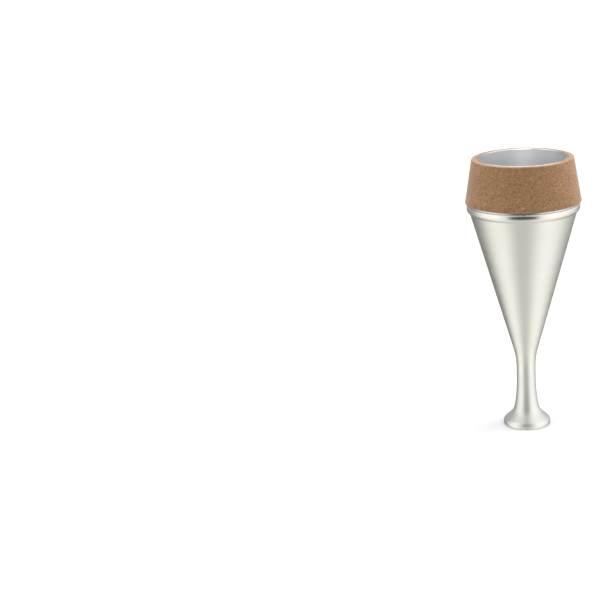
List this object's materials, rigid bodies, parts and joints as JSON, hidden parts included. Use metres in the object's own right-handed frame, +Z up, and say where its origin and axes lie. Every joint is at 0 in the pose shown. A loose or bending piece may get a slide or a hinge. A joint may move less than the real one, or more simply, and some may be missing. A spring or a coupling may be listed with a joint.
{
  "type": "horn stopping mute",
  "caption": "Spun aluminium stopping mute for a French horn, with a slim neck, a small flare and a tapered cork ring round its open wide end.",
  "frame": {"origin": "on the mute's axis, in the plane of the flare's lip, which it stands on", "axes": "+Z up the axis from the small flare to the open wide end; X and Y are any two directions across it"},
  "size_m": [0.0754, 0.0754, 0.182],
  "materials": {
    "spun_aluminium": "satin, fine turning lines round the axis",
    "turned_aluminium": "satin, fine turning lines round the axis",
    "collar_aluminium": "matt satin",
    "epoxy": "cured amber epoxy",
    "contact_cement": "dried contact cement",
    "cork": "ground agglomerated cork"
  },
  "bodies": {
    "root": {"neck_bell": "turned_aluminium", "neck_bond": "epoxy", "body_cone": "spun_aluminium", "flange_bond": "epoxy", "collar_sleeve": "collar_aluminium", "cork_cement": "contact_cement", "cork_ring": "cork"}
  },
  "joints": []
}
